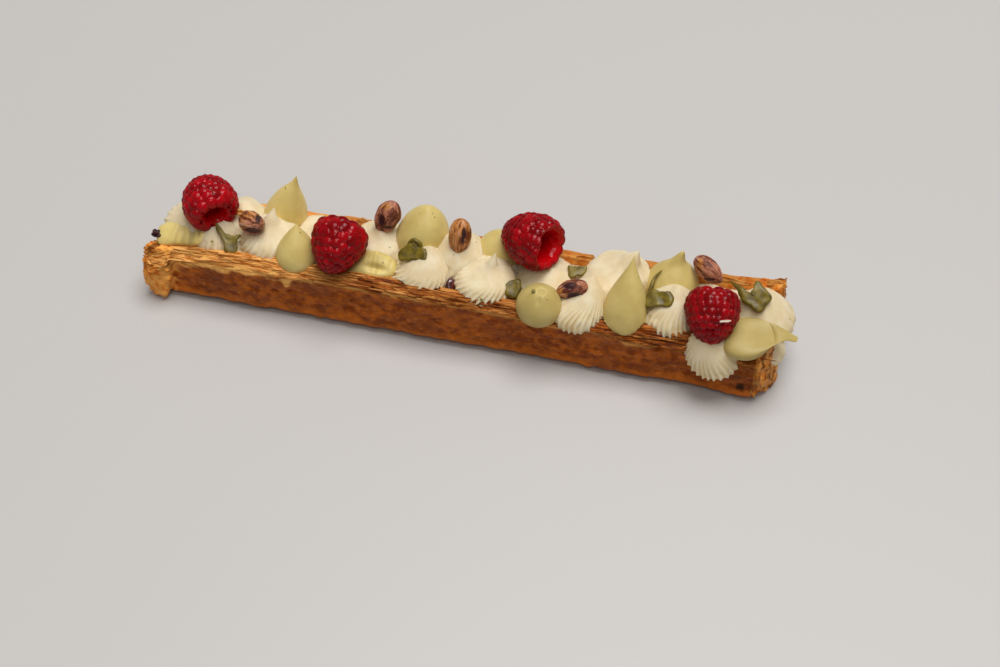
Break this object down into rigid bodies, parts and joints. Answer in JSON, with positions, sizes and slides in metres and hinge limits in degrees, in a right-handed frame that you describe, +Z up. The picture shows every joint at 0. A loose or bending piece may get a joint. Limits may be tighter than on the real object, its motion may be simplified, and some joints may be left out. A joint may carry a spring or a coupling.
{
  "type": "pistachio mille-feuille",
  "caption": "Long open trough of flaky puff pastry filled with berry jam and topped with piped cream rosettes, pistachio cream drops, raspberries, whole pistachios and dabs of pistachio paste",
  "frame": {"origin": "middle of the pastry's flat underside, on the surface it stands on", "axes": "+X along the pastry, to the right in the picture; +Y across it, from the thick front wall to the thin back wall; +Z up"},
  "size_m": [0.2623, 0.046, 0.0501],
  "materials": {
    "pastry": "matt, flaky",
    "jam": "glossy",
    "cream": "satin",
    "pistachio_cream": "satin",
    "raspberry": "satin",
    "nut_skin": "satin",
    "paste": "glossy"
  },
  "bodies": {
    "root": {"pastry_trough": "pastry", "berry_jam": "jam", "raspberry_1": "raspberry", "raspberry_2": "raspberry", "raspberry_3": "raspberry", "raspberry_4": "raspberry", "pistachio_1": "nut_skin", "pistachio_2": "nut_skin", "pistachio_3": "nut_skin", "pistachio_4": "nut_skin", "pistachio_5": "nut_skin", "pistachio_paste_1": "paste", "pistachio_paste_2": "paste", "pistachio_paste_3": "paste", "pistachio_paste_4": "paste", "pistachio_paste_5": "paste", "pistachio_paste_6": "paste", "pistachio_cream_1": "pistachio_cream", "pistachio_cream_2": "pistachio_cream", "pistachio_cream_3": "pistachio_cream", "pistachio_cream_4": "pistachio_cream", "pistachio_cream_5": "pistachio_cream", "pistachio_cream_6": "pistachio_cream", "pistachio_cream_7": "pistachio_cream", "pistachio_cream_8": "pistachio_cream", "pistachio_cream_9": "pistachio_cream", "pistachio_cream_10": "pistachio_cream", "cream_rosette_1": "cream", "cream_rosette_2": "cream", "cream_rosette_3": "cream", "cream_rosette_4": "cream", "cream_rosette_5": "cream", "cream_rosette_6": "cream", "cream_rosette_7": "cream", "cream_rosette_8": "cream", "cream_rosette_9": "cream", "cream_rosette_10": "cream", "cream_rosette_11": "cream", "cream_rosette_12": "cream", "cream_rosette_13": "cream", "cream_rosette_14": "cream", "cream_rosette_15": "cream", "cream_rosette_16": "cream"}
  },
  "joints": []
}
